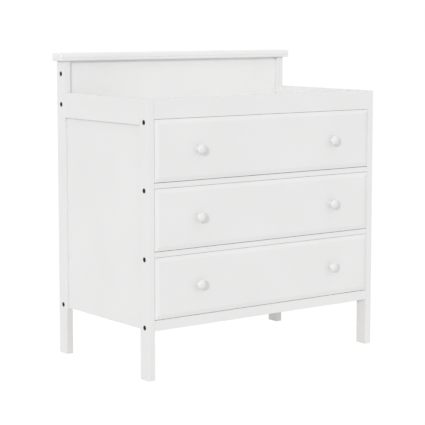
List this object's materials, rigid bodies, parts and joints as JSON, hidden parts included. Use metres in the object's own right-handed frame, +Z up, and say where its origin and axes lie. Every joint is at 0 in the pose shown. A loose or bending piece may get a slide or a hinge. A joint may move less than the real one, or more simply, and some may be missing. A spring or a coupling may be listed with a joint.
{
  "type": "changing table",
  "caption": "White painted changing table: an open tray with a raised crown at the back, over a column of sliding drawers with round knobs, on square legs.",
  "frame": {"origin": "on the floor, under the middle of the whole table with its knobs and crown cap", "axes": "+Z up, front and drawers facing -Y, width along X; left and right are as seen from the front"},
  "size_m": [0.951, 0.5518, 0.988],
  "materials": {
    "painted_wood": "satin white enamel over solid wood, edges slightly eased",
    "painted_panel": "satin white enamel over smooth fibreboard",
    "painted_front": "satin white enamel over machined fibreboard with a sloping border",
    "knob_paint": "semi-gloss white enamel over turned wood",
    "drawer_wood": "clear-sealed pale pine boards",
    "drawer_ply": "thin clear-sealed birch plywood",
    "slide_steel": "zinc-plated rolled steel",
    "bolt_steel": "black oxide steel, slightly oily"
  },
  "bodies": {
    "case": {"front_left_post": "painted_wood", "front_right_post": "painted_wood", "rear_left_post": "painted_wood", "rear_right_post": "painted_wood", "front_bottom_rail": "painted_wood", "lower_divider": "painted_wood", "upper_divider": "painted_wood", "front_apron": "painted_wood", "rear_bottom_rail": "painted_wood", "crown_panel": "painted_wood", "crown_cap": "painted_wood", "left_tray_rail": "painted_wood", "right_tray_rail": "painted_wood", "left_lower_rail": "painted_wood", "right_lower_rail": "painted_wood", "left_side_panel": "painted_panel", "right_side_panel": "painted_panel", "changing_deck": "painted_panel", "back_panel": "painted_panel", "front_left_bolt_1": "bolt_steel", "front_left_bolt_2": "bolt_steel", "front_left_bolt_3": "bolt_steel", "front_left_bolt_4": "bolt_steel", "rear_left_bolt_1": "bolt_steel", "rear_left_bolt_2": "bolt_steel", "rear_left_bolt_3": "bolt_steel", "front_right_bolt_1": "bolt_steel", "front_right_bolt_2": "bolt_steel", "front_right_bolt_3": "bolt_steel", "front_right_bolt_4": "bolt_steel", "rear_right_bolt_1": "bolt_steel", "rear_right_bolt_2": "bolt_steel", "rear_right_bolt_3": "bolt_steel", "bottom_slide_rail": "slide_steel", "middle_slide_rail": "slide_steel", "top_slide_rail": "slide_steel"},
    "bottom_drawer": {"bottom_drawer_front": "painted_front", "bottom_drawer_left_side": "drawer_wood", "bottom_drawer_right_side": "drawer_wood", "bottom_drawer_back": "drawer_wood", "bottom_drawer_base": "drawer_ply", "bottom_drawer_runner": "slide_steel", "bottom_drawer_left_knob": "knob_paint", "bottom_drawer_right_knob": "knob_paint"},
    "middle_drawer": {"middle_drawer_front": "painted_front", "middle_drawer_left_side": "drawer_wood", "middle_drawer_right_side": "drawer_wood", "middle_drawer_back": "drawer_wood", "middle_drawer_base": "drawer_ply", "middle_drawer_runner": "slide_steel", "middle_drawer_left_knob": "knob_paint", "middle_drawer_right_knob": "knob_paint"},
    "top_drawer": {"top_drawer_front": "painted_front", "top_drawer_left_side": "drawer_wood", "top_drawer_right_side": "drawer_wood", "top_drawer_back": "drawer_wood", "top_drawer_base": "drawer_ply", "top_drawer_runner": "slide_steel", "top_drawer_left_knob": "knob_paint", "top_drawer_right_knob": "knob_paint"}
  },
  "joints": [
    {"name": "bottom_drawer_slide", "type": "slide", "parent": "case", "child": "bottom_drawer", "axis": [0, -1, 0], "range_m": [0, 0.3]},
    {"name": "middle_drawer_slide", "type": "slide", "parent": "case", "child": "middle_drawer", "axis": [0, -1, 0], "range_m": [0, 0.3]},
    {"name": "top_drawer_slide", "type": "slide", "parent": "case", "child": "top_drawer", "axis": [0, -1, 0], "range_m": [0, 0.3]}
  ]
}
